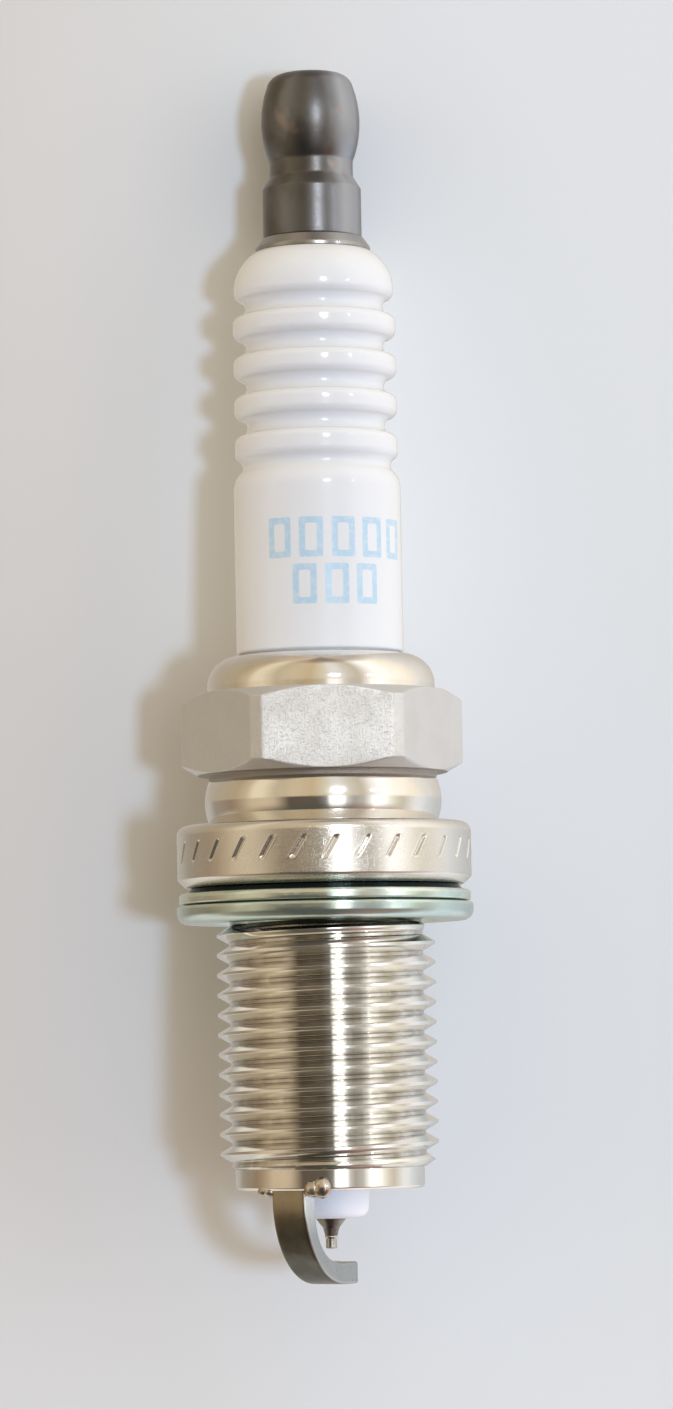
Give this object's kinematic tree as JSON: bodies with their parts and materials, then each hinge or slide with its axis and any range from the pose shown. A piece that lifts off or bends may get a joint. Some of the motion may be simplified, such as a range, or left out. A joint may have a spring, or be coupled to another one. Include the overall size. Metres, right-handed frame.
{
  "type": "spark plug",
  "caption": "Resistor spark plug with a removable terminal nut, ribbed ceramic insulator, hexagon steel shell, loose crush gasket and a bent ground electrode over a fine-wire tip.",
  "frame": {"origin": "centre of the shell's gasket seat, on the plug's axis", "axes": "+Z along the axis to the terminal, so the firing end points to -Z; one flat of the hexagon faces -Y; +X to the right of that flat"},
  "size_m": [0.0186, 0.0186, 0.076],
  "materials": {
    "nickel_plated_steel": "satin nickel plating",
    "glazed_alumina": "gloss white glaze",
    "dark_steel": "dark plated steel, satin",
    "bright_steel": "bright plated steel",
    "conductive_glass": "matte",
    "resistor_fill": "matte",
    "nickel_alloy": "dull nickel alloy",
    "copper": "dull copper",
    "weld_bead": "as welded",
    "precious_metal": "satin",
    "packing_steel": "plain steel",
    "packed_talc": "matte pressed powder",
    "zinc_plated_steel": "bluish zinc plating, satin"
  },
  "bodies": {
    "plug": {"shell": "nickel_plated_steel", "insulator": "glazed_alumina", "terminal_stud": "bright_steel", "glass_seal_upper": "conductive_glass", "resistor": "resistor_fill", "glass_seal_lower": "conductive_glass", "centre_electrode": "nickel_alloy", "centre_core": "copper", "tip_weld": "weld_bead", "iridium_tip": "precious_metal", "packing_washer": "packing_steel", "packing_ring_lower": "packing_steel", "talc_filling": "packed_talc", "packing_ring_upper": "packing_steel", "ground_electrode": "nickel_alloy", "ground_core": "copper", "ground_pad": "precious_metal", "ground_weld": "weld_bead"},
    "gasket": {"gasket": "zinc_plated_steel"},
    "terminal_nut": {"terminal_nut": "dark_steel"}
  },
  "joints": [
    {"name": "gasket_float", "type": "slide", "parent": "plug", "child": "gasket", "axis": [0, 0, -1], "range_m": [0, 0.0009]},
    {"name": "terminal_nut_lift", "type": "slide", "parent": "plug", "child": "terminal_nut", "axis": [0, 0, 1], "range_m": [0, 0.01]}
  ]
}
